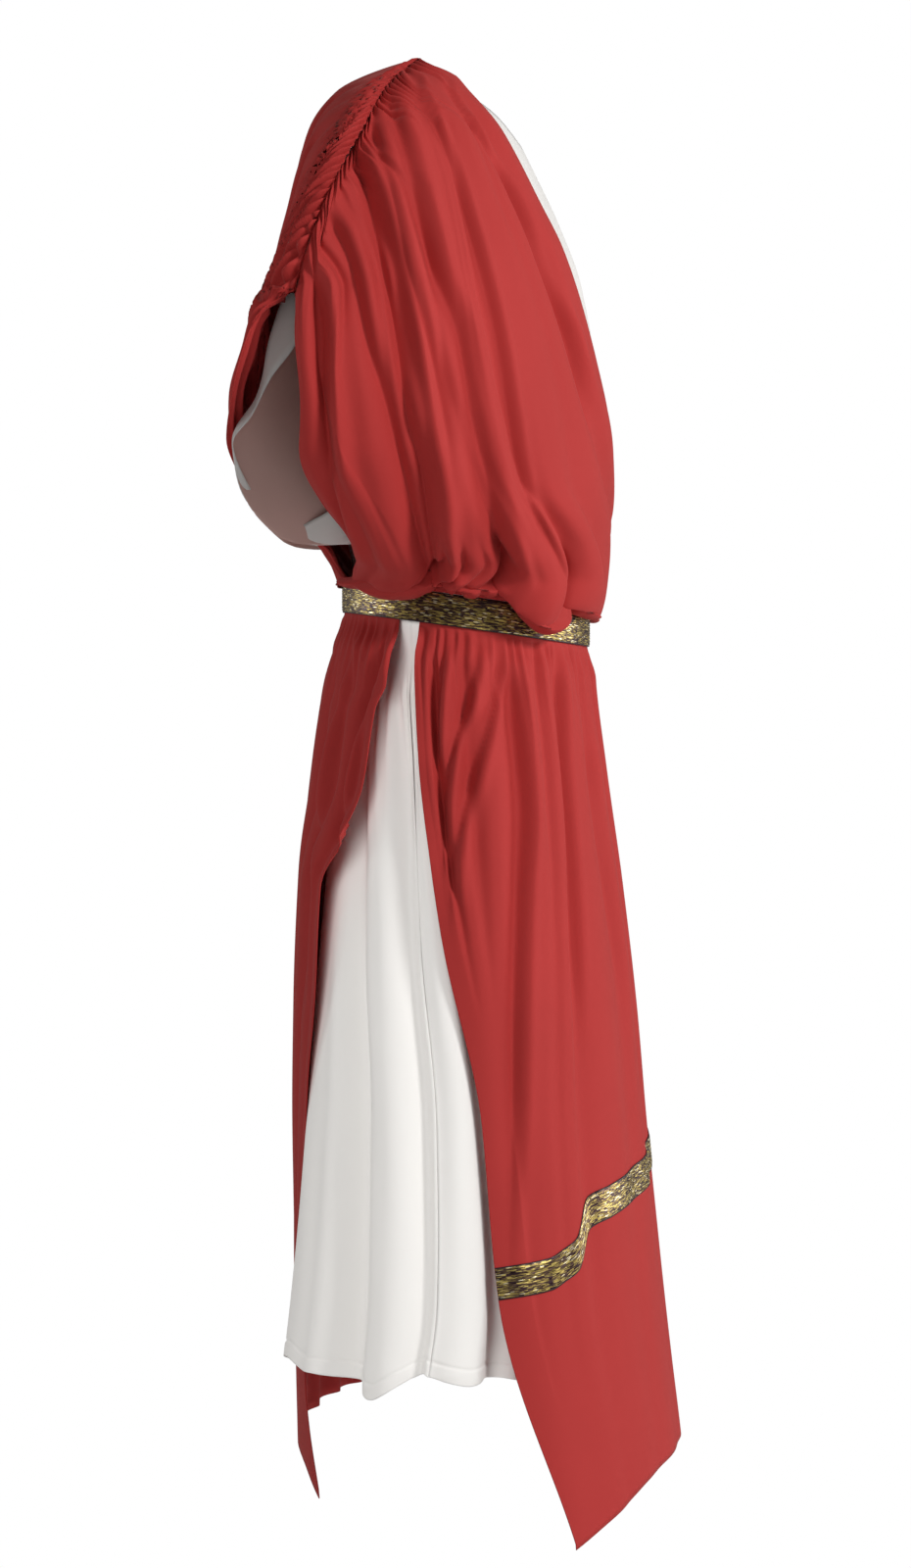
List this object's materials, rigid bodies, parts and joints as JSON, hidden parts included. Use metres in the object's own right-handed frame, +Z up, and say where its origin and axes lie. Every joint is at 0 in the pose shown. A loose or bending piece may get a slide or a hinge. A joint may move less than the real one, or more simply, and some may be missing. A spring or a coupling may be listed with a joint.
{
  "type": "roman toga costume",
  "caption": "Worn-form costume: a white knee-length tunic under a red one-shoulder drape with a metallic gold belt, gathered shoulder seam and gold hem ribbon.",
  "frame": {"origin": "midway between the two shoulders at the height of the shoulder top, where the wearer holds the garment up", "axes": "+Z up, the wearer faces -Y, and the wearer's right side is -X"},
  "size_m": [0.5217, 0.384, 1.2553],
  "materials": {
    "toga_cloth": "smooth matte red jersey with a soft sheen",
    "tunic_cloth": "plain matte white jersey",
    "belt_lame": "ribbed gold metallic elastic with dark edges",
    "ribbon_lame": "glittering gold metallic ribbon with dark stitched edges"
  },
  "bodies": {
    "root": {"toga_front_bodice": "toga_cloth", "toga_back_bodice": "toga_cloth", "toga_front_skirt": "toga_cloth", "toga_back_skirt": "toga_cloth", "tunic_front": "tunic_cloth", "tunic_back": "tunic_cloth", "tunic_sleeve_right": "tunic_cloth", "tunic_sleeve_left": "tunic_cloth", "belt": "belt_lame", "hem_trim": "ribbon_lame"}
  },
  "joints": []
}
